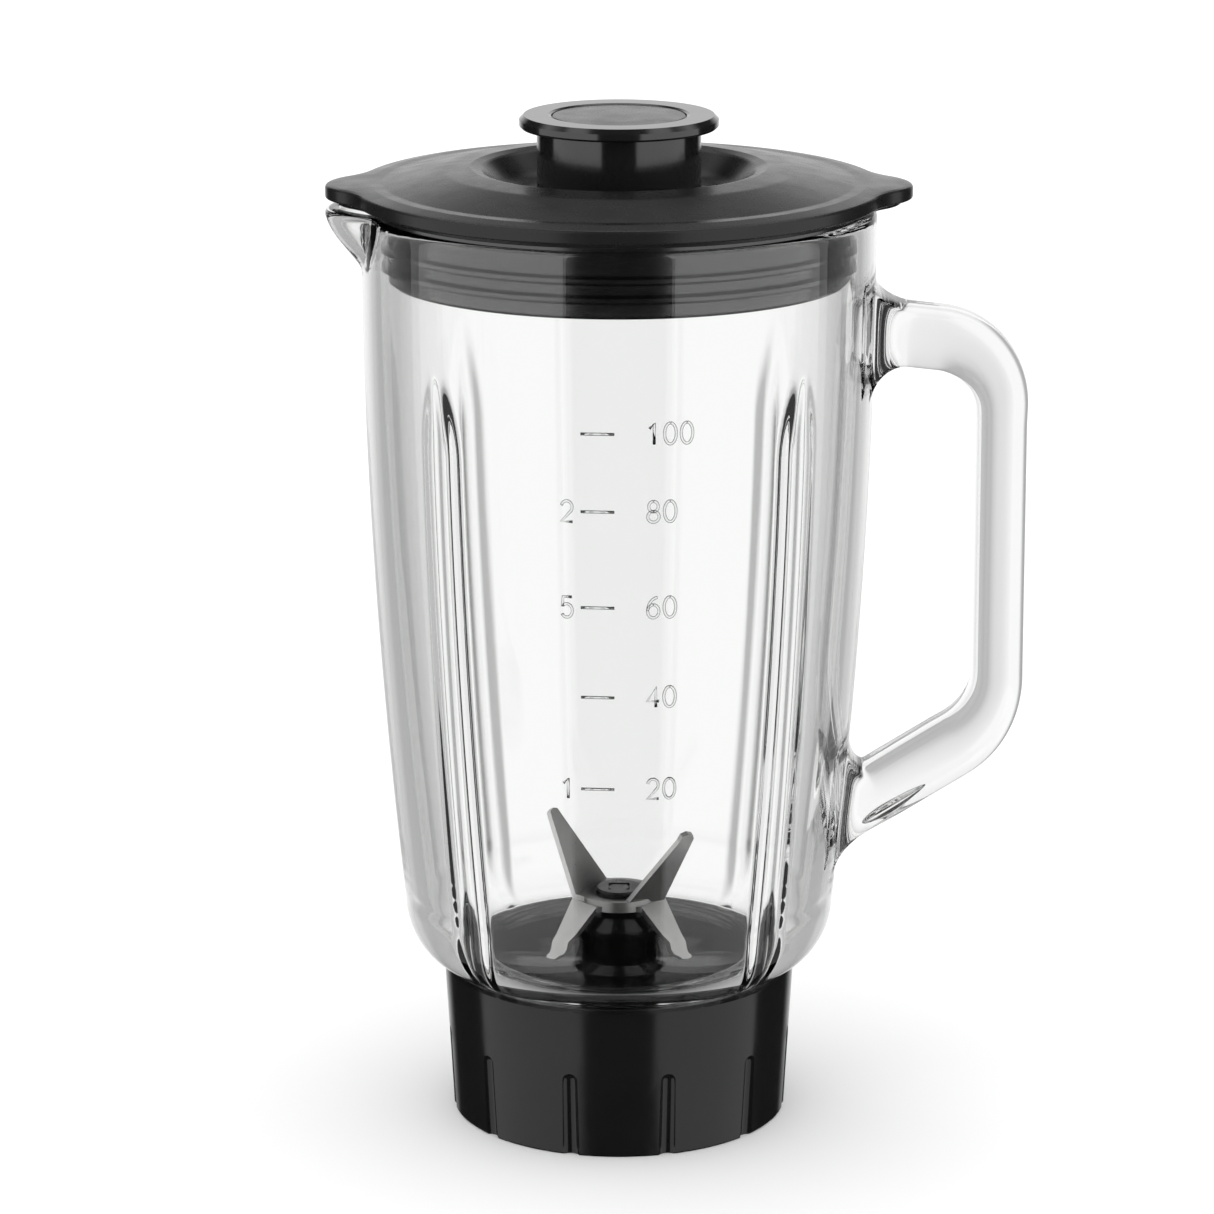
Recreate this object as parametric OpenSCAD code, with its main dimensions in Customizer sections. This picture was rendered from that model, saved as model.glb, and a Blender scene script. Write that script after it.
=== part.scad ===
// Glass blender jug: a pouring jar with a handle, a lid with a filler cap,
// and a screwed-on foot collar that carries the blades and their drive.
// Millimetres, +Z up, origin at the middle of the collar's rest face.
// The spout points to -X and the handle to +X.

/* [Collar] */
// Outer radius of the collar where it stands
collar_foot_r = 46.4; // [45.6:0.1:47]
// Outer radius of the collar at its upper rim
collar_rim_r = 48.7; // [48:0.1:50]
// Height of the collar
collar_h = 42.9; // [42:0.1:43.2]
// Radius of the socket that drops over the drive unit
socket_r = 42.5; // [41:0.1:42.6]
// Depth of that socket
socket_h = 15; // [10:0.5:15]
// Number of grip grooves round the collar
grip_count = 11; // [8:1:14]
// Height of the grip grooves
grip_h = 23.8; // [16:0.2:28]

/* [Jar] */
// Largest outer radius, just below the rim
jar_r = 69.4; // [69:0.1:70.5]
// Outer radius where the wall meets the rounded shoulder
shoulder_r = 59.5; // [58:0.1:61]
// Height of the rim above the rest face
rim_z = 255; // [254:0.1:255]
// Glass thickness at the rim
wall_top = 5; // [4.4:0.1:5.2]
// Glass thickness at the shoulder
wall_low = 6.2; // [5:0.1:7]
// Outer radius of the threaded neck
neck_r = 43; // [42.5:0.1:43]
// Radius of the hole through the neck
mouth_r = 37.5; // [37:0.1:38]
// How far the spout reaches from the axis
spout_reach = 79.3; // [77:0.1:80]
// Height of the pointed upper end of the flutes
flute_top_z = 213; // [190:1:220]

/* [Handle] */
// Distance of the grip's centre line from the axis
grip_x = 104.3; // [100:0.1:106]
// Glass thickness across the grip
grip_t = 14; // [12:0.5:16]
// Width of the handle, front to back
grip_w = 19; // [17:0.5:22]
// Height of the upper arm's centre line
arm_z = 220.3; // [214:0.1:222]

/* [Lid] */
// Radius of the lid's flange
lid_r = 71.5; // [71:0.1:72]
// Reach of the two lifting tabs from the axis
tab_reach = 79; // [77:0.5:80]
// Height of the raised ring round the lid's dish
lid_top_z = 265.8; // [264:0.1:268]
// Radius of the filler hole
filler_r = 22.8; // [22.8:0.1:23.2]
// Radius of the filler cap's rim
cap_r = 26.8; // [26:0.1:28]
// Height of the top of the filler cap
cap_top_z = 279.8; // [279:0.1:282]

/* [Blades] */
// Thickness of the blade sheets
blade_t = 1.5; // [1.2:0.1:1.6]
// Radius of the round middle of the blades
blade_hub_r = 12.2; // [11:0.1:12.5]
// Radius of the drive shaft
shaft_r = 3; // [2.5:0.1:3]

/* [Screw joint] */
// Rise of the jar in one turn
pitch = 6; // [5:0.5:7]
// Turns of thread
turns = 1; // [0.75:0.25:1]

/* [Hidden] */
$fn = 96;

gloss_black = "#1b1b1d";
satin_black = "#3c3d3f";
rubber_black = "#262628";
steel = "#a9abad";
bronze = "#a9824a";
clear_glass = [0.82, 0.88, 0.88, 0.4];

// Levels in the foot, from the rest face up
ledge_z = socket_h + 3;         // top of the collar's inner ledge
flange_t = 3;                   // blade carrier's clamped flange
gasket_z = ledge_z + flange_t;  // gasket lies on the flange
gasket_t = 3;
neck_z = gasket_z + gasket_t;   // bottom of the glass neck
seat_r = 45.2;                  // collar's inner radius above the ledge
ledge_r = 36.4;
thread_start = 7;                // angle at which the neck's thread begins
thread_crest = [43.4, 44.6];    // collar's and neck's thread crests, 1.2 deep in each other
floor_z = 37.6;                 // jug floor formed by the blade carrier
hub_z = 56.5;                   // top of the carrier's hub
hub_r = 10.5;

// Levels of the drive train
sleeve_r = 7;
sleeve_bore_r = 5;
sleeve_z = [25, 50];
bush_h = 9;
seal_z = [51.2, 54.6];
clip_z = [39.5, 40.3];
clip_depth = 0.6;               // depth of the shaft's groove for the clip
washer_t = 0.7;
washer_z = [24.2, 50.2];        // lower washer under the sleeve, upper one on its top
blade_z = 59;                   // underside of the lower blade
spacer_r = 5;
coupling_r = 13.5;
insert_r = 6;
coupling_z = [16, 23.5];
insert_z = coupling_z[0] + 1;   // bottom of the insert and of the shaft
running_gap = 0.05;
through = 30;                   // length of a drill that passes right through

// Levels in the lid
lid_under_z = rim_z + 1;        // the seal's flange lies between rim and lid
lid_flange_top_z = lid_under_z + 5.2;
seal_low_z = 236.5;
plug_r = 59.8;
plug_low_z = 240;
lid_neck_z = 243.5;             // bottom of the neck round the filler hole
cap_seat_z = 247;
cap_body_r = 22.1;
cap_rim_t = 3.4;
disc_r = 18.05;
disc_z = cap_top_z - 2.6;       // underside of the cap's disc

// ---- curves ----

// Outer radius of the jar's wall between the shoulder and the rim
shoulder_z = 62;
wall_end_z = 240;
function taper(z) = pow(max(0, (wall_end_z - z) / (wall_end_z - shoulder_z)), 1.9);
function jar_out(z) = jar_r - (jar_r - shoulder_r) * taper(z);
function jar_wall(z) = wall_top + (wall_low - wall_top) * taper(z);
function jar_in(z) = jar_out(z) - jar_wall(z);

function ellipse_arc(c, a, b, from, to, n) =
    [for (i = [0:n]) let (t = from + (to - from) * i / n) [c[0] + a * cos(t), c[1] + b * sin(t)]];

function wall_levels(n) = [for (i = [0:n]) shoulder_z + (wall_end_z - shoulder_z) * i / n];

// A helical ridge that stands on radius root_r and reaches crest_r, starting at height z0.
// One closed polyhedron of four-sided sections; it fades out at both ends.
module helix_ridge(root_r, crest_r, z0) {
    steps = ceil(40 * turns);
    root_h = 1.6;
    crest_h = 0.7;
    function section(i) = let (a = 360 * turns * i / steps, z = z0 + pitch * a / 360,
        fade = min(1, 4 * i / steps, 4 * (steps - i) / steps),
        c = root_r + (crest_r - root_r) * max(0.2, fade))
        [[root_r * cos(a), root_r * sin(a), z - root_h], [c * cos(a), c * sin(a), z - crest_h],
         [c * cos(a), c * sin(a), z + crest_h], [root_r * cos(a), root_r * sin(a), z + root_h]];
    points = [for (i = [0:steps]) each section(i)];
    flip = crest_r < root_r;
    side = [for (i = [0:steps - 1], k = [0:3]) let (a = 4 * i + k, b = 4 * i + (k + 1) % 4)
        flip ? [a, a + 4, b + 4, b] : [a, b, b + 4, a + 4]];
    ends = flip ? [[0, 1, 2, 3], [4 * steps + 3, 4 * steps + 2, 4 * steps + 1, 4 * steps]]
                : [[3, 2, 1, 0], [4 * steps, 4 * steps + 1, 4 * steps + 2, 4 * steps + 3]];
    polyhedron(points, concat(side, ends), convexity = 6);
}

// A straight round bar between two points
module rod(p, q, r1, r2) {
    d = q - p;
    translate(p) rotate([0, atan2(norm([d[0], d[1]]), d[2]), atan2(d[1], d[0])])
        cylinder(h = norm(d), r1 = r1, r2 = r2, $fn = 32);
}

module tube(r_out, r_in, z0, z1) {
    translate([0, 0, z0]) difference() {
        cylinder(h = z1 - z0, r = r_out);
        translate([0, 0, -1]) cylinder(h = z1 - z0 + 2, r = r_in);
    }
}

// ---- foot ----

module base_collar() {
    slope = atan((collar_rim_r - collar_foot_r) / collar_h);
    groove_r = [2.7, 2.4];          // a groove's radius at the foot and at its rounded top
    lug_w = 12;                     // angle a lug takes, and the angle it turns to lock
    lug_lock = 25;
    slot_z = [7, 11];               // the locking run of a slot
    slot_depth = 1.4;
    key = [6.3, 8.6];               // notch for one of the blade carrier's keys
    color(gloss_black) difference() {
        union() {
            rotate_extrude() polygon([[socket_r, 0], [collar_foot_r - 0.5, 0], [collar_foot_r, 0.5],
                [collar_rim_r, collar_h - 0.8], [collar_rim_r - 0.8, collar_h], [seat_r + 0.6, collar_h],
                [seat_r, collar_h - 0.6], [seat_r, ledge_z], [ledge_r, ledge_z], [ledge_r, socket_h],
                [socket_r, socket_h]]);
            helix_ridge(seat_r + 0.4, thread_crest[0], neck_z + 3 + pitch / 2);
        }
        for (i = [0:grip_count - 1]) rotate([0, 0, 90 + 360 * i / grip_count])
            translate([collar_foot_r + 1.1, 0, 0]) rotate([0, slope, 0]) {
                translate([0, 0, -2]) cylinder(h = grip_h, r1 = groove_r[0], r2 = groove_r[1], $fn = 32);
                translate([0, 0, grip_h - 2]) sphere(r = groove_r[1], $fn = 32);
            }
        // L-shaped slots for the drive unit's three lugs
        for (i = [0:2]) rotate([0, 0, 40 + 120 * i]) {
            rotate_extrude(angle = lug_w) translate([socket_r - 1, -1])
                square([slot_depth + 1, slot_z[1] + 1]);
            rotate_extrude(angle = lug_lock) translate([socket_r - 1, slot_z[0]])
                square([slot_depth + 1, slot_z[1] - slot_z[0]]);
        }
        // notches that keep the blade carrier from turning
        for (i = [0:2]) rotate([0, 0, 120 * i])
            translate([ledge_r - 1, -key[1] / 2, ledge_z - 2]) cube([key[0], key[1], 4]);
    }
}

module blade_carrier() {
    plug_out_r = mouth_r - 1;
    skin = 3;                       // thickness of the plug and its floor
    band_r = hub_r + 1.4;           // band round the top of the hub
    band_z = 52.8;
    color(satin_black) {
        rotate_extrude() polygon([[sleeve_r, sleeve_z[0]], [sleeve_r + 3.5, sleeve_z[0]],
            [sleeve_r + 3.5, floor_z - skin], [plug_out_r - skin, floor_z - skin],
            [plug_out_r - skin, ledge_z], [seat_r - 0.5, ledge_z],
            [seat_r - 0.5, gasket_z], [plug_out_r, gasket_z],
            [plug_out_r, floor_z - 1.5], [plug_out_r - 1.5, floor_z], [hub_r + 3, floor_z],
            [hub_r, floor_z + 3], [hub_r, band_z - 1.8], [band_r, band_z - 1], [band_r, band_z],
            [band_r - 0.5, band_z + 0.4], [hub_r - 1.4, hub_z], [spacer_r + 0.6, hub_z],
            [spacer_r + 0.6, seal_z[1]], [sleeve_r, seal_z[1]]]);
        for (i = [0:2]) rotate([0, 0, 120 * i])
            translate([ledge_r + 0.2, -4, ledge_z - 1.7]) cube([4.6, 8, 2.2]);
    }
}

module bearing_sleeve() {
    color(steel) tube(sleeve_r, sleeve_bore_r, sleeve_z[0], sleeve_z[1]);
}

module bush(z) {
    color(bronze) tube(sleeve_bore_r, shaft_r + running_gap, z, z + bush_h);
}

module upper_bush() { bush(sleeve_z[1] - bush_h); }

module lower_bush() { bush(sleeve_z[0]); }

module shaft_seal() {
    lip_r = shaft_r + running_gap;
    color(rubber_black) rotate_extrude() polygon([[sleeve_r, seal_z[0]], [sleeve_r, seal_z[1]],
        [spacer_r, seal_z[1]], [lip_r + 1.15, seal_z[1] - 0.6], [lip_r, seal_z[1] - 0.6],
        [lip_r, seal_z[0] + 1.8], [lip_r + 1.35, seal_z[0] + 1.2], [lip_r + 1.35, seal_z[0]]]);
}

// ---- rotor ----

module drive_shaft() {
    low = insert_z;
    top = blade_z + 2 * blade_t + 1;
    groove_z = [clip_z[0] - 0.1, clip_z[1] + 0.1];
    groove_r = shaft_r - clip_depth;
    color(steel) rotate_extrude() polygon([[0, low], [shaft_r - 0.6, low], [shaft_r, low + 0.8],
        [shaft_r, groove_z[0]], [groove_r, groove_z[0]], [groove_r, groove_z[1]],
        [shaft_r, groove_z[1]], [shaft_r, top - 0.2], [shaft_r - 0.2, top], [0, top]]);
}

module retaining_clip() {
    color(steel) difference() {
        tube(sleeve_bore_r - 0.5, shaft_r - clip_depth, clip_z[0], clip_z[1]);
        // the clip's gap
        rotate([0, 0, 20]) translate([0, -1, clip_z[0] - 1]) cube([sleeve_bore_r, 2, 3]);
    }
}

module thrust_washer(z, r) {
    color(steel) tube(r, shaft_r, z, z + washer_t);
}

module upper_thrust_washer() { thrust_washer(washer_z[1], 4.3); }

module lower_thrust_washer() { thrust_washer(washer_z[0], 6.4); }

module blade_spacer() {
    color(gloss_black) tube(spacer_r, shaft_r, seal_z[1] + 0.4, blade_z);
}

// A flat wing bent from the hub: the bend line lies at distance s from the axis,
// square to the direction az, on the sheet's face that is outermost in the bend,
// and the wing leans up by lean degrees.
// root = [from, to] along the bend line; tip = [distance, place, width]
module wing(az, s, z, lean, root, tip) {
    face = lean < 0 ? blade_t : 0;
    rotate([0, 0, az]) translate([s, 0, z + face]) rotate([0, -lean, 0])
        translate([0, 0, -face]) linear_extrude(blade_t)
            polygon([[0, root[0]], [tip[0] - 2.5, tip[1] - tip[2] / 2],
                [tip[0] - 0.6, tip[1] - tip[2] / 2 + 0.5], [tip[0], tip[1]],
                [tip[0] - 0.6, tip[1] + tip[2] / 2 - 0.5], [tip[0] - 2, tip[1] + tip[2] / 2],
                [0, root[1]]]);
}

module blade_plate(z) {
    translate([0, 0, z]) cylinder(h = blade_t, r = blade_hub_r - 1.2, $fn = 64);
}

module lower_blade() {
    color(steel) difference() {
        union() {
            blade_plate(blade_z);
            for (side = [-1, 1]) mirror([side > 0 ? 0 : 1, 0, 0]) {
                translate([0, 0, blade_z]) linear_extrude(blade_t)
                    polygon([[0, 6.6], [13, -2.4], [6.1, -10.1], [0, -9.6]]);
                wing(-41.8, 11.2, blade_z, -60, [-3.4, 6.9], [19.3, 5.6, 4.6]);
            }
        }
        translate([0, 0, blade_z - 1]) cylinder(h = 4, r = shaft_r);
    }
}

module upper_blade() {
    z = blade_z + blade_t;
    color(steel) difference() {
        union() {
            blade_plate(z);
            translate([0, 0, z]) linear_extrude(blade_t)
                polygon([[-4.1, 11.2], [-12.6, -3.1], [-3, -10.2], [1.7, -10.2], [12.4, -4.6], [5, 9]]);
            wing(148.7, 9.5, z, 59, [-7.7, 9.2], [25.2, 1, 4.6]);
            wing(-62, 9.8, z, 66, [-3.2, 8.9], [23.6, 11.2, 4.4]);
        }
        translate([0, 0, z - 1]) cylinder(h = 4, r = shaft_r);
    }
}

module blade_nut() {
    z = blade_z + 2 * blade_t;
    nut_r = 6.6;
    square_w = 5.8;                 // recess with the shaft's end in it
    color(steel) difference() {
        union() {
            translate([0, 0, z]) cylinder(h = 0.7, r = nut_r);
            translate([0, 0, z + 0.7]) cylinder(h = 0.5, r1 = nut_r, r2 = nut_r - 0.6);
        }
        translate([0, 0, z - 1]) cylinder(h = 2, r = shaft_r);
        translate([-square_w / 2, -square_w / 2, z + 0.4]) cube([square_w, square_w, 2]);
    }
}

module coupling_insert() {
    color(steel) difference() {
        translate([0, 0, insert_z]) cylinder(h = washer_z[0] - insert_z, r = insert_r);
        cylinder(h = through, r = shaft_r);
    }
}

module drive_coupling() {
    color(rubber_black) difference() {
        translate([0, 0, coupling_z[0]]) cylinder(h = coupling_z[1] - coupling_z[0], r = coupling_r);
        cylinder(h = through, r = insert_r);
        // pockets for the driver's teeth
        for (i = [0:5]) rotate([0, 0, 60 * i]) translate([8.2, 0, coupling_z[0] - 1])
            linear_extrude(5) polygon([[0, -1.6], [7, -3.2], [7, 3.2], [0, 1.6]]);
    }
}

// ---- jar ----

module jar_gasket() {
    color(rubber_black) rotate_extrude() polygon([[mouth_r - 0.4, gasket_z],
        [neck_r - 0.2, gasket_z], [neck_r + 0.1, gasket_z + 0.4], [neck_r + 0.1, neck_z - 0.4],
        [neck_r - 0.2, neck_z], [mouth_r - 0.4, neck_z]]);
}

// Where a flute's centre line runs, from the shoulder up: straight runs between these levels
flute_levels = [50, 64, 132, flute_top_z];
flute_angles = [45:90:315];
function flute_r(z) = z < shoulder_z ? shoulder_r - 0.62 * (shoulder_z - z) : jar_out(z);

// Round bars of radius r along a flute, set back from the wall's outer face by inset.
// The uppermost ends in a point.
module flute(inset, r, first) {
    for (i = [first:len(flute_levels) - 2]) let (z0 = flute_levels[i], z1 = flute_levels[i + 1])
        rod([flute_r(z0) - inset, 0, z0 - 1], [flute_r(z1) - inset, 0, z1 + 1], r,
            z1 == flute_top_z ? r / 3 : r);
}

// Handle section: a rounded slot, t thick and w wide
module grip_section(t = grip_t, w = grip_w) {
    square([t, w - t], center = true);
    for (s = [-1, 1]) translate([0, s * (w - t) / 2]) circle(r = t / 2, $fn = 48);
}

// A straight arm along +Z that widens from a bend to its root in the wall
module arm(length, root_t, root_w) {
    proud = 0.4;
    hull() {
        translate([0, 0, -proud]) linear_extrude(0.1) grip_section(grip_t + proud, grip_w + proud);
        translate([0, 0, length]) linear_extrude(0.1) grip_section(root_t, root_w);
    }
}

module handle() {
    bend_top = 17.5;
    bend_low = 24;
    low_turn = 57;
    top_z = arm_z - bend_top;
    low_z = 126;
    root_x = 65;
    low_length = 37;
    // upper arm, upper bend, grip, lower bend, lower arm
    translate([grip_x - bend_top, 0, arm_z]) rotate([0, -90, 0]) arm(grip_x - bend_top - root_x, 20, 23);
    translate([grip_x - bend_top, 0, top_z]) rotate([90, 0, 0])
        rotate_extrude(angle = 90) translate([bend_top, 0]) grip_section();
    translate([grip_x, 0, low_z]) linear_extrude(top_z - low_z) grip_section();
    translate([grip_x - bend_low, 0, low_z]) rotate([90, 0, 0]) rotate([0, 0, -low_turn])
        rotate_extrude(angle = low_turn) translate([bend_low, 0]) grip_section();
    translate([grip_x - bend_low, 0, low_z]) rotate([0, low_turn, 0]) translate([bend_low, 0, 0])
        rotate([180, 0, 0]) arm(low_length, 21, 23);
}

module jar_shell() {
    wall = wall_levels(9);
    low_out = ellipse_arc([neck_r + 2, shoulder_z], shoulder_r - neck_r - 2, shoulder_z - collar_h - 0.6,
        -90, 0, 8);
    in_r = shoulder_r - wall_low;
    low_in = ellipse_arc([mouth_r + 1.5, shoulder_z], in_r - mouth_r - 1.5, 16, 0, -90, 8);
    rotate_extrude() polygon(concat([[mouth_r, neck_z], [neck_r, neck_z]], [[neck_r, collar_h + 0.6 - 0.9]],
        low_out, [for (z = wall) if (z > shoulder_z) [jar_out(z), z]],
        [[jar_r, rim_z - 1.6], [jar_r - 0.8, rim_z - 0.4], [jar_r - 1.8, rim_z],
         [jar_r - wall_top + 1.2, rim_z], [jar_r - wall_top, rim_z - 1.2]],
        [for (i = [len(wall) - 1:-1:0]) if (wall[i] > shoulder_z) [jar_in(wall[i]), wall[i]]],
        low_in, [[mouth_r, shoulder_z - 17.5]]));
}

// Fills the jar up to the middle of its wall, from below the handle up
module wall_core() {
    low_z = 66;
    levels = [for (z = [low_z:29:wall_end_z]) [jar_in(z) + 2, z]];
    rotate_extrude() polygon(concat([[0, low_z]], levels,
        [[jar_in(wall_end_z) + 2, rim_z + 5], [0, rim_z + 5]]));
}

module spout_outer() {
    hull() {
        translate([-spout_reach + 9, 0, rim_z - 3]) cylinder(h = 2.6, r = 9, $fn = 32);
        translate([-jar_r + 4, 0, rim_z - 4]) cube([4, 34, 7.2], center = true);
        translate([-jar_r + 4, 0, rim_z - 18]) sphere(r = 4.2, $fn = 24);
    }
}

module spout_inner() {
    hull() {
        translate([-spout_reach + 11.5, 0, rim_z - 2.5]) cylinder(h = 6, r = 7, $fn = 32);
        translate([-jar_r + 8, 0, rim_z]) cube([6, 24, 6], center = true);
        translate([-jar_r + 9, 0, rim_z - 15]) sphere(r = 3, $fn = 24);
    }
}

module glass_jar() {
    color(clear_glass) difference() {
        union() {
            jar_shell();
            rotate([0, 0, thread_start]) helix_ridge(neck_r - 0.4, thread_crest[1], neck_z + 3);
            for (a = flute_angles) rotate([0, 0, a]) flute(wall_low, 5, 1);
            difference() {
                union() {
                    handle();
                    spout_outer();
                }
                wall_core();
            }
        }
        for (a = flute_angles) rotate([0, 0, a]) flute(-2.2, 4.4, 0);
        spout_inner();
    }
}

// ---- lid ----

tab_r = 14;
tab_fillet_r = 18;

module lid_plan() {
    circle(r = lid_r, $fn = 128);
    for (s = [-1, 1]) translate([s * (tab_reach - tab_r), 0]) circle(r = tab_r, $fn = 64);
}

module lid() {
    neck_out_r = filler_r + 2.2;
    neck_in_r = filler_r - 2.8;
    plug_in_r = plug_r - 2.6;
    color(satin_black) {
        // flange with its two tabs
        translate([0, 0, lid_under_z]) linear_extrude(lid_flange_top_z - lid_under_z - 0.3)
            difference() {
                offset(r = -tab_fillet_r) offset(r = tab_fillet_r) lid_plan();
                circle(r = plug_r - 1);
            }
        // plug wall, domed ring, dish, and the neck with the cap's seat
        rotate_extrude() polygon([[neck_in_r, lid_neck_z], [neck_out_r, lid_neck_z], [neck_out_r, 255.8],
            [30, 257.2], [34, 259.6], [37.5, 262.3], [40, 263], [48, 262.3], [54.5, 260.6],
            [plug_in_r, 257], [plug_in_r, plug_low_z], [plug_r, plug_low_z], [plug_r, lid_under_z],
            [lid_r - 1, lid_under_z], [lid_r - 1, lid_flange_top_z - 0.6], [lid_r - 2, lid_flange_top_z],
            [59, lid_flange_top_z], [54.5, 263.4], [48, 265], [43, 265.7], [39.6, lid_top_z],
            [36.5, 264.9], [33, 261.9], [29.5, 259.7], [26, 258.8], [filler_r, 258.6],
            [filler_r, cap_seat_z], [neck_in_r, cap_seat_z]]);
    }
}

module lid_seal() {
    color(rubber_black) rotate_extrude() polygon([[plug_r, lid_under_z], [67.4, lid_under_z],
        [67.4, rim_z], [62.6, rim_z], [62.4, 248], [64.1, 247.4], [64.2, 246.4], [62.3, 245.4],
        [62.2, 243], [64, 242.4], [64.1, 241.4], [62.1, 240.4], [61.9, seal_low_z + 0.8],
        [61.2, seal_low_z], [57.6, seal_low_z], [57.6, plug_low_z], [plug_r, plug_low_z]]);
}

// ---- filler cap ----

module filler_cap() {
    rim_z0 = cap_top_z - cap_rim_t;
    core_r = cap_body_r - 2.6;
    groove_r = cap_body_r - 1.2;    // groove for the ring seal
    groove_z = [251.8, 254.2];
    color(gloss_black) rotate_extrude() polygon([[0, disc_z], [disc_r + 0.15, disc_z],
        [disc_r + 0.15, cap_top_z - 0.3], [disc_r + 1, cap_top_z], [cap_r - 1.2, cap_top_z],
        [cap_r, cap_top_z - 1.2], [cap_r, rim_z0 + 0.6], [cap_r - 0.6, rim_z0],
        [cap_body_r + 0.6, rim_z0], [cap_body_r, rim_z0 - 0.6], [cap_body_r, groove_z[1]],
        [groove_r, groove_z[1]], [groove_r, groove_z[0]], [cap_body_r, groove_z[0]],
        [cap_body_r, cap_seat_z], [core_r, cap_seat_z], [core_r, disc_z - 2.4], [0, disc_z - 2.4]]);
}

module cap_top_disc() {
    color(satin_black) rotate_extrude() polygon([[0, disc_z], [disc_r, disc_z],
        [disc_r, cap_top_z - 0.6], [disc_r - 0.35, cap_top_z - 0.3], [12, cap_top_z - 0.1], [0, cap_top_z]]);
}

module cap_seal() {
    cord_r = 0.85;
    color(rubber_black) rotate_extrude() translate([cap_body_r - 0.35, 253]) circle(r = cord_r, $fn = 32);
}

base_collar();
blade_carrier();
bearing_sleeve();
upper_bush();
lower_bush();
shaft_seal();
drive_shaft();
upper_thrust_washer();
lower_thrust_washer();
retaining_clip();
blade_spacer();
lower_blade();
upper_blade();
blade_nut();
coupling_insert();
drive_coupling();
jar_gasket();
glass_jar();
lid();
lid_seal();
filler_cap();
cap_top_disc();
cap_seal();
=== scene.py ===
import math
from math import cos, pi, sin, sqrt

import bmesh
import bpy
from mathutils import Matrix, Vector


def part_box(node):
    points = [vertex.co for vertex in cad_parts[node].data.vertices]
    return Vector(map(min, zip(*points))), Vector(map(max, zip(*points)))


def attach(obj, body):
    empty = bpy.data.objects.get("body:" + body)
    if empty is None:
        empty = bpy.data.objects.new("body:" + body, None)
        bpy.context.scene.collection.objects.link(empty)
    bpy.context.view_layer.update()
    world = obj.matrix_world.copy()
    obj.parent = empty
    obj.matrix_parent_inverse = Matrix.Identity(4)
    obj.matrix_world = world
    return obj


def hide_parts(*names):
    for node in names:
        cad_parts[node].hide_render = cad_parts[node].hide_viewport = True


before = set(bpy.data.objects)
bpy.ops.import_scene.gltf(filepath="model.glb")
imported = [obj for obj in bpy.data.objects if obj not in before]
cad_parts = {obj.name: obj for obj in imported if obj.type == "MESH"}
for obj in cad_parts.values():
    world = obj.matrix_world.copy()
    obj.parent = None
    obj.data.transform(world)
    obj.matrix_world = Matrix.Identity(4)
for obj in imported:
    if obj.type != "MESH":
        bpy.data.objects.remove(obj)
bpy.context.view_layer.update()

MM = 0.001


def low_high(node):
    """Lowest and highest corner of a CAD node in millimetres."""
    low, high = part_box(node)
    return low / MM, high / MM


def clamp(x, low=0.0, high=1.0):
    return max(low, min(high, x))


def smooth(x):
    """Rises from 0 to 1 with a level start and end."""
    x = clamp(x)
    return x * x * (3 - 2 * x)


def mix(a, b, t):
    return a + (b - a) * t


# ---------------------------------------------------------------- shader helpers

# A noise seldom leaves this range, so colours and roughness are spread over it
NOISE_LOW = 0.3
NOISE_HIGH = 0.7


class Nodes:
    """A short way to build a node tree: each call adds one node and links its inputs."""

    def __init__(self, tree):
        self.tree = tree
        tree.nodes.clear()

    def add(self, kind, **settings):
        node = self.tree.nodes.new(kind)
        inputs = settings.pop("inputs", {})
        for key, value in settings.items():
            setattr(node, key, value)
        for key, value in inputs.items():
            if isinstance(value, bpy.types.NodeSocket):
                self.tree.links.new(value, node.inputs[key])
            else:
                node.inputs[key].default_value = value
        return node

    def noise(self, where, scale, detail, rough=0.5):
        inputs = {"Vector": where, "Scale": scale, "Detail": detail, "Roughness": rough}
        return self.add("ShaderNodeTexNoise", inputs=inputs).outputs["Fac"]

    def stretched(self, where, scale):
        """Texture coordinates scaled by a different factor on each axis."""
        return self.add("ShaderNodeMapping", inputs={"Vector": where, "Scale": scale}).outputs["Vector"]

    def between(self, value, low, high, from_low=NOISE_LOW, from_high=NOISE_HIGH):
        """Runs from low to high while value goes from from_low to from_high."""
        inputs = {0: value, 1: from_low, 2: from_high, 3: low, 4: high}
        return self.add("ShaderNodeMapRange", inputs=inputs).outputs["Result"]

    def blend(self, value, dark, light):
        """A colour from dark to light over the middle of a noise."""
        ramp = self.add("ShaderNodeValToRGB", inputs={"Fac": value})
        start, end = ramp.color_ramp.elements
        start.position, start.color = NOISE_LOW, (*dark, 1)
        end.position, end.color = NOISE_HIGH, (*light, 1)
        return ramp.outputs["Color"]

    def bump(self, height, depth_mm, under=None):
        inputs = {"Height": height, "Distance": depth_mm * MM, "Strength": 1.0}
        if under is not None:
            inputs["Normal"] = under
        return self.add("ShaderNodeBump", inputs=inputs).outputs["Normal"]


def new_material(name):
    material = bpy.data.materials.new(name)
    material.use_nodes = True
    nodes = Nodes(material.node_tree)
    where = nodes.add("ShaderNodeTexCoord").outputs["Object"]
    return material, nodes, where


def surface(nodes, **inputs):
    """Ends a material in one shader; an input's name is written with _ for its spaces."""
    inputs = {name.replace("_", " "): value for name, value in inputs.items()}
    shader = nodes.add("ShaderNodeBsdfPrincipled", inputs=inputs)
    nodes.add("ShaderNodeOutputMaterial", inputs={"Surface": shader.outputs["BSDF"]})


def grey(level, warm=0.0):
    """A grey, or a slightly warm one, for metal."""
    return (level * (1 + warm), level, level * (1 - warm))


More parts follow.
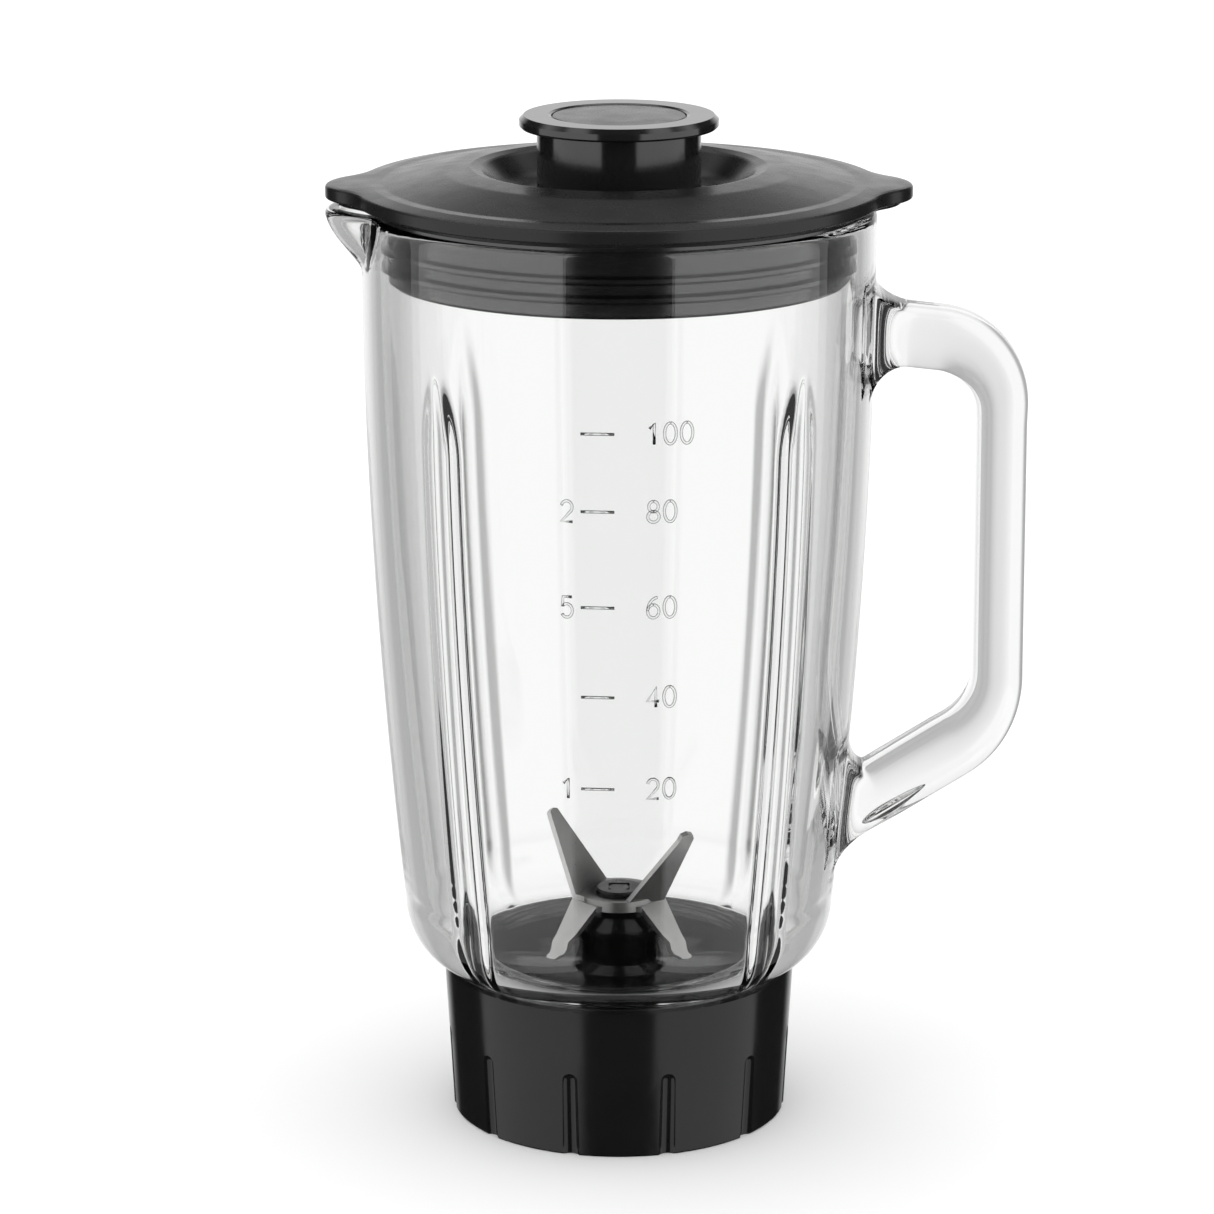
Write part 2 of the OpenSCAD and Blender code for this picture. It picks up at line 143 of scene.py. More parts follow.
def moulded(name, level, rough, grain_mm, grain_depth, ior=1.5):
    """Moulded plastic or rubber: faint mottling, grain and a slow ripple in the surface."""
    mottle = 0.12  # how far colour and roughness swing to either side
    material, nodes, where = new_material(name)
    clouds = nodes.noise(where, 45, 4)
    grain = nodes.noise(where, 1 / (grain_mm * MM), 2, 0.6)
    ripple = nodes.noise(where, 60, 2)
    slow = nodes.bump(ripple, 0.03)
    surface(
        nodes,
        Base_Color=nodes.blend(clouds, grey(level * (1 - mottle)), grey(level * (1 + mottle))),
        Roughness=nodes.between(nodes.noise(where, 140, 5), rough * (1 - mottle), rough * (1 + mottle)),
        Normal=nodes.bump(grain, grain_depth, slow),
        IOR=ior,
    )
    return material


def turned_metal(name, light, dark, rough):
    """Bare metal with fine lathe rings round the axis."""
    material, nodes, where = new_material(name)
    marks = nodes.noise(nodes.stretched(where, (60, 60, 5200)), 1.0, 3, 0.65)
    clouds = nodes.noise(where, 120, 4)
    surface(
        nodes,
        Base_Color=nodes.blend(clouds, dark, light),
        Metallic=1.0,
        Roughness=nodes.between(marks, rough * 0.75, rough * 1.3),
        Normal=nodes.bump(marks, 0.006),
    )
    return material


def brushed_blade():
    """Ground stainless sheet, streaked across, with painted shade that darkens the metal round the hub."""
    hub_r, wing_r = 7.5 * MM, 13.5 * MM  # the painted shade round the hub fades out between these radii
    material, nodes, where = new_material("ground_steel")
    streaks = nodes.noise(nodes.stretched(where, (2600, 160, 2600)), 1.0, 4, 0.7)
    patches = nodes.noise(where, 90, 3)
    flat = nodes.stretched(where, (1, 1, 0))
    reach = nodes.add("ShaderNodeVectorMath", operation="LENGTH", inputs={0: flat}).outputs["Value"]
    out_of_hub_shade = nodes.between(reach, 0.0, 1.0, hub_r, wing_r)
    # painted shade: near-black metal round the hub, where the nut and spacer sit on the blades
    hub = nodes.blend(patches, grey(0.035), grey(0.06))
    wing = nodes.blend(patches, grey(0.58, 0.01), grey(0.72, 0.01))
    tone = nodes.add("ShaderNodeMix", data_type="RGBA", inputs={0: out_of_hub_shade, 6: hub, 7: wing}).outputs[2]
    surface(
        nodes,
        Base_Color=tone,
        Metallic=1.0,
        Roughness=nodes.between(streaks, 0.26, 0.42),
        Normal=nodes.bump(streaks, 0.01),
    )
    return material


def clear_glass():
    """Pressed glass: clear with a trace of tint, and a slow swell and a fine skin in its surface."""
    material, nodes, where = new_material("pressed_glass")
    swell = nodes.noise(nodes.stretched(where, (1.0, 1.0, 0.2)), 30, 1)
    skin = nodes.noise(where, 210, 2)
    slow = nodes.bump(swell, 0.05)
    surface(
        nodes,
        Base_Color=(0.985, 0.99, 0.985, 1),
        Roughness=nodes.between(nodes.noise(where, 90, 3), 0.0, 0.012),
        Transmission_Weight=1.0,
        IOR=1.5,
        Normal=nodes.bump(skin, 0.002, slow),
    )
    return material


# Moulded materials: grey level, roughness, size of the grain and its depth in millimetres
MATERIALS = {
    "gloss_black": moulded("gloss_black", 0.0065, 0.16, 0.9, 0.001),
    "black_moulding": moulded("black_moulding", 0.009, 0.2, 0.7, 0.002),
    "satin_black": moulded("satin_black", 0.010, 0.27, 0.28, 0.004),
    "cap_black": moulded("cap_black", 0.008, 0.13, 0.9, 0.001, ior=1.9),
    "seal_rubber": moulded("seal_rubber", 0.010, 0.2, 0.5, 0.002, ior=2.1),
    "black_rubber": moulded("black_rubber", 0.016, 0.5, 0.3, 0.008),
    "steel": turned_metal("turned_steel", grey(0.6), grey(0.48), 0.25),
    "dark_steel": turned_metal("dark_steel", grey(0.08), grey(0.05), 0.3),
    "bronze": turned_metal("bearing_bronze", (0.62, 0.4, 0.19), (0.5, 0.3, 0.13), 0.35),
    "blade_steel": brushed_blade(),
    "clear_glass": clear_glass(),
}


# ---------------------------------------------------------------- mesh helpers


def piece(name, body, slot, points, faces, replaces=()):
    """A mesh piece from points in millimetres, smooth shaded, riding on a CAD body."""
    bm = bmesh.new()
    verts = [bm.verts.new(Vector(p) * MM) for p in points]
    for face in faces:
        bm.faces.new([verts[i] for i in face])
    loose = [v for v in bm.verts if not v.link_faces]
    bmesh.ops.delete(bm, geom=loose, context="VERTS")
    bmesh.ops.recalc_face_normals(bm, faces=bm.faces)
    for face in bm.faces:
        face.smooth = True
    mesh = bpy.data.meshes.new(name)
    bm.to_mesh(mesh)
    bm.free()
    obj = bpy.data.objects.new(name, mesh)
    bpy.context.scene.collection.objects.link(obj)
    mesh.materials.append(MATERIALS[slot])
    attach(obj, body)
    if replaces:
        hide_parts(*replaces)
    return obj


def grid_faces(rows, columns, closed_rows=False):
    """Quads of a grid of rows by columns points; the columns always close."""
    faces = []
    for i in range(rows if closed_rows else rows - 1):
        a = i * columns
        b = (i + 1) % rows * columns
        for j in range(columns):
            k = (j + 1) % columns
            faces.append((a + j, a + k, b + k, b + j))
    return faces


# ---------------------------------------------------------------- curves and angles

TINY = 1e-6


def turned_away(angle, centre):
    """Angle from centre, between -pi and pi."""
    return (angle - centre + pi) % (2 * pi) - pi


def arc(cx, cz, a, b, start, end, n, first=1):
    """Points of an ellipse arc from start to end degrees, without its first point unless first is 0."""
    turns = [math.radians(mix(start, end, i / n)) for i in range(first, n + 1)]
    return [(cx + a * cos(turn), cz + b * sin(turn)) for turn in turns]


def turned(vector, turn):
    """A flat vector turned by an angle in radians."""
    x = vector.x * cos(turn) - vector.y * sin(turn)
    y = vector.x * sin(turn) + vector.y * cos(turn)
    return Vector((x, y))


def rounded_line(corners, step, arc_steps=18):
    """Evenly spaced points along a line whose corners, each with a bend radius, are replaced by arcs."""
    points = []
    for i, (x, z, radius) in enumerate(corners):
        here = Vector((x, z))
        if i in (0, len(corners) - 1):
            points.append(here)
            continue
        before = (Vector(corners[i - 1][:2]) - here).normalized()
        after = (Vector(corners[i + 1][:2]) - here).normalized()
        half = math.acos(clamp(before.dot(after), -1, 1)) / 2
        centre = here + (before + after).normalized() * radius / sin(half)
        start = here + before * radius / math.tan(half) - centre
        end = here + after * radius / math.tan(half) - centre
        sweep = start.angle_signed(end)
        points += [centre + turned(start, -sweep * k / arc_steps) for k in range(arc_steps + 1)]
    spaced = []
    for a, b in zip(points, points[1:]):
        n = max(1, round((b - a).length / step))
        spaced += [a.lerp(b, k / n) for k in range(n)]
    spaced.append(points[-1])
    return spaced


def column_angles(spots, coarse):
    """Angles of the columns round the axis, closer together on the spots that need detail.

    spots: direction in radians, reach to either side and step in degrees; coarse: the step elsewhere.
    """
    found = []
    angle = -pi
    while angle < pi - TINY:
        found.append(angle)
        steps = [coarse]
        for centre, reach, fine in spots:
            if abs(turned_away(angle, centre)) < math.radians(reach):
                steps.append(fine)
        angle += math.radians(min(steps))
    return found


# ---------------------------------------------------------------- glass jar

jar_low, jar_high = low_high("glass_jar")
NECK_Z = jar_low.z
RIM_Z = jar_high.z
JAR_R = jar_high.y
SPOUT_OUT = -jar_low.x - JAR_R
NECK_R = 43.0
BORE_R = 37.5
BORE_TOP_Z = 45.4
FOOT_R = 45.0
FOOT_Z = 43.5
SHOULDER_R = JAR_R - 9.9
SHOULDER_Z = 62.0
BOWL_R = 39.0
BOWL_DEPTH = 16.0
WALL_END_Z = 240.0
WALL_TOP = 5.0
WALL_LOW = 6.2
RIM_OUT_ROUND = 2.2
RIM_IN_ROUND = 1.6
FLUTES = [quarter * pi / 4 for quarter in (1, 3, 5, 7)]
FLUTE_FOOT = 43.0
FLUTE_FOOT_FADE = 16.0


def taper(z):
    """0 at WALL_END_Z and above, growing to 1 at the shoulder."""
    return clamp((WALL_END_Z - z) / (WALL_END_Z - SHOULDER_Z)) ** 1.9


def wall_r(z):
    """Outer radius of the jar at a height."""
    return JAR_R - (JAR_R - SHOULDER_R) * taper(z)


# Directions of the handle and of the spout, as seen from the axis
HANDLE_WAY = 0.0
SPOUT_WAY = pi
JAR_SPOTS = [(way, 11.5, 0.42) for way in FLUTES] + [(way, 15, 1.0) for way in FLUTES]
JAR_SPOTS += [(HANDLE_WAY, 13, 1.08), (SPOUT_WAY, 26, 1.2)]
ANGLES = column_angles(JAR_SPOTS, 2.1)


def flute_shape(angle, z, r, half_width, depth, top, fade):
    """How far a flute presses the wall inward; it narrows and fades out at its top and at its foot."""
    near = min(abs(turned_away(angle, way)) for way in FLUTES)
    up = smooth((top - z) / fade)
    down = smooth((z - FLUTE_FOOT) / FLUTE_FOOT_FADE)
    width = half_width * (0.25 + 0.75 * sqrt(up)) * (0.45 + 0.55 * down)
    s = near * r / width
    if s >= 1 or up <= 0 or down <= 0:
        return 0.0
    return depth * up * down * (0.5 + 0.5 * cos(pi * s))


def spout_shape(angle, z, reach, foot, half_width):
    """How far the spout stands out of the wall: from nothing at its foot to reach at the rim."""
    t = clamp((z - foot) / (RIM_Z - foot))
    if t <= 0:
        return 0.0
    across = abs(turned_away(angle, SPOUT_WAY)) * JAR_R
    s = across / (half_width * (0.3 + 0.7 * sqrt(t)))
    if s >= 1:
        return 0.0
    return reach * sin(t * pi / 2) ** 1.15 * (1 - s * s) ** 1.5


THREAD_START = math.radians(7)
THREAD_Z = NECK_Z + 3
THREAD_PITCH = 6.0
THREAD_OUT = 1.6
THREAD_HALF = 1.6
THREAD_FLANK = 0.9


def thread_shape(angle, z):
    """The screw ridge on the neck: one turn that fades out at both ends."""
    turn = (angle - THREAD_START) % (2 * pi) / (2 * pi)
    off = abs(z - THREAD_Z - THREAD_PITCH * turn)
    fade = smooth(min(turn, 1 - turn) * 8)
    return THREAD_OUT * fade * smooth((THREAD_HALF - off) / THREAD_FLANK)


# Heights between which the handle's two roots grow out of the wall
LOW_ROOT = (69.0, 107.0)
TOP_ROOT = (204.0, 236.0)
ROOT_ROWS = 20
RIM_EDGE_Z = 252.8
NECK_CHAMFER = 0.8
THREAD_ROWS_H = 13.0
THREAD_ROW_STEP = 0.55
INNER_ROW_STEP = 2.4


def jar_profile():
    """Rows of the jar from the neck's lower edge up the outside, over the rim and down the inside."""
    rows = [("out", NECK_R - NECK_CHAMFER, NECK_Z, "plain"), ("out", NECK_R - 0.2, NECK_Z + 0.2, "plain")]
    z = NECK_Z + NECK_CHAMFER
    while z < NECK_Z + THREAD_ROWS_H:
        rows.append(("out", NECK_R, z, "thread"))
        z += THREAD_ROW_STEP
    rows += [("out", NECK_R, z, "thread") for z in (38.5, 40.5, 42)]

    outside = [(NECK_R + 0.8, 43.2)]
    outside += arc(FOOT_R, SHOULDER_Z, SHOULDER_R - FOOT_R, SHOULDER_Z - FOOT_Z, -90, 0, 16)
    stops = [(SHOULDER_Z, LOW_ROOT[0], 4), (*LOW_ROOT, ROOT_ROWS), (LOW_ROOT[1], TOP_ROOT[0], 52)]
    stops += [(*TOP_ROOT, ROOT_ROWS), (TOP_ROOT[1], RIM_EDGE_Z, 14)]
    for start, end, n in stops:
        heights = [mix(start, end, i / n) for i in range(1, n + 1)]
        outside += [(wall_r(z), z) for z in heights]
    outside += arc(JAR_R - RIM_OUT_ROUND, RIM_EDGE_Z, RIM_OUT_ROUND, RIM_OUT_ROUND, 0, 90, 6)
    rows += [("out", r, z, "wall") for r, z in outside]

    rim_r = JAR_R - WALL_TOP + RIM_IN_ROUND
    inside = [(rim_r, RIM_Z)]
    inside += arc(rim_r, RIM_Z - RIM_IN_ROUND, RIM_IN_ROUND, RIM_IN_ROUND, 90, 180, 5)
    z = RIM_Z - 3
    while z > SHOULDER_Z + 1:
        inside.append((wall_r(z) - mix(WALL_TOP, WALL_LOW, taper(z)), z))
        z -= INNER_ROW_STEP
    inside += arc(BOWL_R, SHOULDER_Z, SHOULDER_R - WALL_LOW - BOWL_R, BOWL_DEPTH, 8, -88, 18)
    rows += [("in", r, z, "wall") for r, z in inside]

    bore = [(BORE_R + 0.3, BORE_TOP_Z), (BORE_R, BORE_TOP_Z - 1), (BORE_R, 38), (BORE_R, 31)]
    bore += [(BORE_R, NECK_Z + 0.4), (BORE_R + 0.5, NECK_Z)]
    rows += [("in", r, z, "plain") for r, z in bore]
    return rows


# Half width, depth, top and length of the fade at the top; the flutes at the back are softer
FLUTE_GROOVE = (4.6, 1.5, 220.0, 20.0)
FLUTE_RIDGE = (7.0, 3.6, 218.5, 22.0)
SOFT_GROOVE = (5.5, 0.5, 212.0, 30.0)
SOFT_RIDGE = (8.0, 2.8, 215.0, 30.0)

# Reach, foot and half width of the spout, outside and inside
SPOUT_OUTSIDE = (SPOUT_OUT, 238.5, 23.0)
SPOUT_INSIDE = (SPOUT_OUT + 0.4, 241.0, 18.0)


def jar_radius(side, r, z, kind, angle):
    """Radius of a row at an angle: the row's own radius with thread, flutes and spout added."""
    if kind == "thread":
        return r + thread_shape(angle, z)
    if kind == "plain":
        return r
    groove, ridge = (FLUTE_GROOVE, FLUTE_RIDGE) if sin(angle) < 0 else (SOFT_GROOVE, SOFT_RIDGE)
    if side == "out":
        return r - flute_shape(angle, z, r, *groove) + spout_shape(angle, z, *SPOUT_OUTSIDE)
    return r - flute_shape(angle, z, r, *ridge) + spout_shape(angle, z, *SPOUT_INSIDE)


# The handle's centre line in the XZ plane, as corners with a bend radius
HANDLE_LINE = [(69.0, 221.0, 0), (103.9, 217.2, 19.0), (104.2, 111.7, 24.0), (61.0, 84.9, 0)]
HANDLE_STEP = 1.7
HANDLE_W = 19.0
HANDLE_POWER = 3.3
ARM_T = 17.2
GRIP_T = 13.9

# Lengths along the centre line: where the arms turn into the grip, and where the flares meet the arms
TOP_ARM = 22.0
LOW_ARM = 34.0
THINNING = 30.0
TOP_FLARE = 8.5
LOW_FLARE = 13.0
FLARE_RINGS = 12
FLARE_LEAVE = 1.15
FLARE_REACH = 0.95
ROOT_COLUMNS = 12


def superellipse(phi, half_x, half_y, power):
    """Point of an oval with squared corners."""
    c, s = cos(phi), sin(phi)
    scale = (abs(c) ** power + abs(s) ** power) ** (-1 / power)
    return half_x * c * scale, half_y * s * scale


def handle_sections(phis):
    """Sections of the handle between its flares, each with the direction in which the line runs."""
    line = rounded_line(HANDLE_LINE, HANDLE_STEP)
    total = sum((b - a).length for a, b in zip(line, line[1:]))
    gone = 0.0
    sections = []
    for k, here in enumerate(line):
        if k:
            gone += (here - line[k - 1]).length
        if gone < TOP_FLARE or gone > total - LOW_FLARE:
            continue
        ahead = line[min(k + 1, len(line) - 1)] - line[max(k - 1, 0)]
        ahead.normalize()
        outward = Vector((-ahead.y, ahead.x))
        grip = smooth((gone - TOP_ARM) / THINNING) * smooth((total - LOW_ARM - gone) / THINNING)
        thick = mix(ARM_T, GRIP_T, grip)
        section = []
        for phi in phis:
            y, n = superellipse(phi, HANDLE_W / 2, thick / 2, HANDLE_POWER)
            section.append(Vector((here.x + outward.x * n, y, here.y + outward.y * n)))
        sections.append((section, Vector((ahead.x, 0, ahead.y))))
    return sections


def flare(edges, section, along):
    """Rings between a hole's edge in the wall and a section of the handle, level with both at its ends."""
    made = []
    for m in range(1, FLARE_RINGS):
        t = m / FLARE_RINGS
        from_edge, leave_edge = 2 * t**3 - 3 * t**2 + 1, t**3 - 2 * t**2 + t
        to_goal, reach_goal = -2 * t**3 + 3 * t**2, t**3 - t**2
        ring = []
        for edge, goal in zip(edges, section):
            out = Vector((edge.x, edge.y, 0)).normalized()
            way = goal - edge
            gap = way.length
            way -= out * way.dot(out)
            leaving = way.normalized() * gap * FLARE_LEAVE * leave_edge
            reaching = along * gap * FLARE_REACH * reach_goal
            ring.append(edge * from_edge + leaving + goal * to_goal + reaching)
        made.append(ring)
    return made


def build_jar():
    """One skin: the turned jar with two holes in its wall, and the handle joined to the holes' edges."""
    rows = jar_profile()
    columns = len(ANGLES)
    points = []
    for side, r, z, kind in rows:
        for angle in ANGLES:
            here = jar_radius(side, r, z, kind, angle)
            points.append(Vector((here * cos(angle), here * sin(angle), z)))
    faces = grid_faces(len(rows), columns, closed_rows=True)

    def row_at(z):
        outer = [(abs(row[2] - z), i) for i, row in enumerate(rows) if row[0] == "out" and row[3] == "wall"]
        return min(outer)[1]

    middle = min(range(columns), key=lambda j: abs(ANGLES[j]))
    left, right = middle - ROOT_COLUMNS, middle + ROOT_COLUMNS
    removed = set()
    loops = []
    for root, upright in ((TOP_ROOT, True), (LOW_ROOT, False)):
        low, high = row_at(root[0]), row_at(root[1])
        removed.update((i, j) for i in range(low, high) for j in range(left, right))
        rim = [(low, j) for j in range(left, right)] + [(i, right) for i in range(low, high)]
        rim += [(high, j) for j in range(right, left, -1)] + [(i, left) for i in range(high, low, -1)]
        if not upright:  # the handle's lower end comes from below, so this loop is turned over
            rim = [(low + high - i, j) for i, j in rim]
        loops.append([i * columns + j for i, j in rim])
    faces = [f for k, f in enumerate(faces) if (k // columns, k % columns) not in removed]

    # Each vertex of a loop keeps its direction round the handle's section
    across = 2 * ROOT_COLUMNS
    ring = [(j, 0) for j in range(across)] + [(across, i) for i in range(ROOT_ROWS)]
    ring += [(j, ROOT_ROWS) for j in range(across, 0, -1)] + [(0, i) for i in range(ROOT_ROWS, 0, -1)]
    phis = [math.atan2(2 * i / ROOT_ROWS - 1, j / ROOT_COLUMNS - 1) for j, i in ring]

    sections = handle_sections(phis)
    edges = [[points[index] for index in loop] for loop in loops]
    rings = flare(edges[0], *sections[0])
    rings += [section for section, _ in sections]
    last_section, last_way = sections[-1]
    rings += reversed(flare(edges[1], last_section, -last_way))
    count = len(phis)
    ids = [loops[0]]
    for ring in rings:
        ids.append(list(range(len(points), len(points) + count)))
        points += ring
    ids.append(loops[1])
    for a, b in zip(ids, ids[1:]):
        for k in range(count):
            n = (k + 1) % count
            faces.append((a[k], a[n], b[n], b[k]))
    jar = piece("glass_jar_body", "jar", "clear_glass", points, faces, replaces=("glass_jar",))
    jar.visible_shadow = False


build_jar()


BUBBLE_WAY = Vector((43.2, 0, 26.8)).normalized()
BUBBLE_CENTRE = Vector((75.6, 0, 88.3))
BUBBLE_HALF = (10.5, 3.2, 1.3)


def build_bubble():
    """A long flat bubble in the glass of the lower arm, near its root."""
    half_length, half_width, half_height = BUBBLE_HALF
    upward = Vector((-BUBBLE_WAY.z, 0, BUBBLE_WAY.x))
    turns, steps = 16, 14
    points = []
    for i in range(1, steps):
        t = pi * i / steps
        swell = sin(t) * (0.75 + 0.25 * cos(t))
        middle = BUBBLE_CENTRE - BUBBLE_WAY * half_length * cos(t)
        for k in range(turns):
            a = 2 * pi * k / turns
            sideways = Vector((0, half_width * swell * cos(a), 0))
            points.append(middle + upward * half_height * swell * sin(a) + sideways)
    faces = grid_faces(steps - 1, turns)
    for end in (-1, 1):
        points.append(BUBBLE_CENTRE + BUBBLE_WAY * half_length * end)
    last = (steps - 2) * turns
    faces += [(k, (k + 1) % turns, last + turns) for k in range(turns)]
    faces += [(last + k, last + (k + 1) % turns, last + turns + 1) for k in range(turns)]
    bubble = piece("glass_bubble", "jar", "clear_glass", points, faces)
    bubble.visible_shadow = False


build_bubble()


# ---------------------------------------------------------------- scale on the jar

# Height of each line, and the plain numbers to its left and right
SCALE_ROWS = [
    (110.4, "1", "20"),
    (136.1, "", "40"),
    (160.8, "5", "60"),
    (186.8, "2", "80"),
    (207.6, "", "100"),
]
LINE_X = (-10.0, -1.2)
LEFT_X = -15.2
RIGHT_X = 7.4
DIGIT_H = 5.6
DIGIT_W = 3.1
DIGIT_GAP = 1.3
STROKE_SIDES = 6
STROKE_HALF = 0.4
STROKE_LIFT = 0.03
PROUD = 0.13
PROUD_LOW = 0.26  # the lowest row stands out more
LOW_ROW_Z = 120.0


def digit_strokes(digit):
    """Centre lines of a digit in a box one unit wide and one unit high."""
    return {
        "0": [arc(0.5, 0.5, 0.5, 0.5, 90, 450, 28, 0)],
        "1": [[(0.15, 0.75), (0.55, 1.0), (0.55, 0.0)]],
        "2": [arc(0.5, 0.7, 0.46, 0.3, 165, -35, 14, 0) + [(0.04, 0.0), (1.0, 0.0)]],
        "4": [[(0.74, 0.0), (0.74, 1.0), (0.0, 0.3), (1.0, 0.3)]],
        "5": [[(0.92, 1.0), (0.16, 1.0), (0.1, 0.52)] + arc(0.48, 0.33, 0.48, 0.33, 130, -150, 14, 0)],
        "6": [arc(0.5, 0.32, 0.48, 0.32, 90, 450, 24, 0), arc(0.95, 0.32, 0.93, 0.68, 95, 178, 14, 0)],
        "8": [arc(0.5, 0.75, 0.4, 0.25, 90, 450, 22, 0), arc(0.5, 0.26, 0.48, 0.26, 90, 450, 22, 0)],
    }[digit]


def scale_strokes():
    """Every line of the scale on the unrolled skin of the jar, with how far it stands out."""
    strokes = []
    for z, left, right in SCALE_ROWS:
        proud = PROUD_LOW if z < LOW_ROW_Z else PROUD
        strokes.append(([(x, z) for x in LINE_X], proud))
        for text, x in ((left, LEFT_X), (right, RIGHT_X)):
            for digit in text:
                for line in digit_strokes(digit):
                    strokes.append(([(x + u * DIGIT_W, z + (v - 0.5) * DIGIT_H) for u, v in line], proud))
                x += DIGIT_W + DIGIT_GAP
    return strokes


def scale_marks():
    """Raised numbers and lines on the front of the jar, as thin beads on its skin."""
    points, faces = [], []
    for line, proud in scale_strokes():
        first = len(points)
        for k, (x, z) in enumerate(line):
            a, b = line[max(0, k - 1)], line[min(len(line) - 1, k + 1)]
            along = Vector((b[0] - a[0], b[1] - a[1])).normalized()
            r = wall_r(z)
            for i in range(STROKE_SIDES):
                t = 2 * pi * i / STROKE_SIDES
                side, out = STROKE_HALF * cos(t), proud * sin(t) + STROKE_LIFT
                angle = (x - along.y * side) / r - pi / 2
                points.append(((r + out) * cos(angle), (r + out) * sin(angle), z + along.x * side))
        for base in range(first, len(points) - STROKE_SIDES, STROKE_SIDES):
            for i in range(STROKE_SIDES):
                n = (i + 1) % STROKE_SIDES
                faces.append((base + i, base + n, base + STROKE_SIDES + n, base + STROKE_SIDES + i))
        last = len(points) - STROKE_SIDES
        faces += [tuple(range(first, first + STROKE_SIDES)), tuple(range(last, last + STROKE_SIDES))]
    marks = piece("jar_scale", "jar", "clear_glass", points, faces)
    marks.visible_shadow = False


scale_marks()


# ---------------------------------------------------------------- lid

lid_high = low_high("lid")[1]
LID_R = lid_high.y
TAB_REACH = lid_high.x
TAB_R = 17.0
TAB_BLEND_R = 26.0
TAB_SPOTS = [(HANDLE_WAY, 18, 0.75), (SPOUT_WAY, 18, 0.75)]
LID_TOP_Z = lid_high.z
LID_FLANGE_Z = 261.8
LID_EDGE_Z = 261.2
LID_LIP_Z = 257.4
LID_UNDER_Z = 256.0
DOME_FOOT_R = 63.5
FLANGE_R = 66.5
EDGE_IN = 1.6
NECK_HOLE_R = 22.8
NECK_SEAT_R = 20.0
NECK_OUT_R = 25.0
NECK_LOW_Z = 243.5
NECK_SEAT_Z = 247.0
PLUG_OUT_R = 59.8
PLUG_IN_R = 57.2
PLUG_LOW_Z = 240.0

# Outlines of the lid, each point with its bend radius: over the dish and dome, and back underneath
DISH = [
    (NECK_HOLE_R, 247.2, 0), (NECK_HOLE_R, 258.6, 0.7), (30.6, 258.9, 7), (37.0, 265.2, 2.5),
    (39.9, LID_TOP_Z + 0.1, 1.3), (47.5, 265.1, 16), (DOME_FOOT_R, LID_FLANGE_Z, 4),
    (FLANGE_R, LID_FLANGE_Z, 0),
]
UNDERSIDE = [
    (66.0, LID_UNDER_Z, 0), (PLUG_OUT_R, LID_UNDER_Z, 0.4), (PLUG_OUT_R, PLUG_LOW_Z, 0.5),
    (PLUG_IN_R, PLUG_LOW_Z, 0.5), (PLUG_IN_R, 256.5, 2), (54.5, 260.6, 3), (46, 262.8, 6), (39, 262.8, 4),
    (31, 257, 5), (NECK_OUT_R, 255.8, 1), (NECK_OUT_R, NECK_LOW_Z, 0.5), (NECK_SEAT_R, NECK_LOW_Z, 0.5),
    (NECK_SEAT_R, NECK_SEAT_Z, 0.3), (22.4, NECK_SEAT_Z, 0),
]

# The lid's edge, as distances in from its outline
LIP = [
    (EDGE_IN, LID_EDGE_Z, 0), (0, LID_EDGE_Z - 0.3, 0.9), (0, LID_LIP_Z, 0.6), (2.6, LID_LIP_Z, 0.4),
    (3.2, LID_UNDER_Z, 0.3), (4.0, LID_UNDER_Z, 0),
]


def lid_outline(angle):
    """Distance of the lid's edge from the axis: a circle with a rounded tab at each side."""
    tab_x = TAB_REACH - TAB_R
    near = min(abs(turned_away(angle, HANDLE_WAY)), abs(turned_away(angle, SPOUT_WAY)))
    blend_far = LID_R + TAB_BLEND_R
    reach = TAB_R + TAB_BLEND_R
    blend_angle = math.acos((blend_far**2 + tab_x**2 - reach**2) / (2 * blend_far * tab_x))
    if near >= blend_angle:
        return LID_R
    blend_centre = Vector((blend_far * cos(blend_angle), blend_far * sin(blend_angle)))
    touch = Vector((tab_x, 0)).lerp(blend_centre, TAB_R / reach)
    if near <= math.atan2(touch.y, touch.x):
        return tab_x * cos(near) + sqrt(TAB_R**2 - (tab_x * sin(near)) ** 2)
    off = near - blend_angle
    return blend_far * cos(off) - sqrt(TAB_BLEND_R**2 - (blend_far * sin(off)) ** 2)


def lid_rows():
    """Rows of the lid from the filler hole over the top to the edge and back underneath.

    A row's place is a radius ("at"), a share of the way out to the edge ("toward"), or a
    distance in from the edge ("inside").
    """
    rows = [("at", r, z) for r, z in rounded_line(DISH, 1.2, 7)]
    rows += [("toward", t, mix(LID_FLANGE_Z, LID_EDGE_Z, t)) for t in (0.06, 0.25, 0.5, 0.75, 0.95)]
    rows += [("inside", d, z) for d, z in rounded_line(LIP, 1.4, 6)]
    rows += [("at", r, z) for r, z in rounded_line(UNDERSIDE, 3, 4)]
    return rows


def build_lid():
    columns = column_angles(TAB_SPOTS, 2.0)
    rows = lid_rows()
    points = []
    for kind, place, z in rows:
        for angle in columns:
            edge = lid_outline(angle)
            outward = mix(FLANGE_R, edge - EDGE_IN, place)
            here = {"at": place, "toward": outward, "inside": edge - place}[kind]
            points.append((here * cos(angle), here * sin(angle), z))
    faces = grid_faces(len(rows), len(columns), closed_rows=True)
    lid = piece("lid_shell", "lid", "satin_black", points, faces, replaces=("lid",))
    # Keeps broad faces flat beside small rounded edges
    even = lid.modifiers.new("even_normals", "WEIGHTED_NORMAL")
    even.keep_sharp = False
    even.weight = 80


build_lid()


# ---------------------------------------------------------------- finish of the CAD nodes

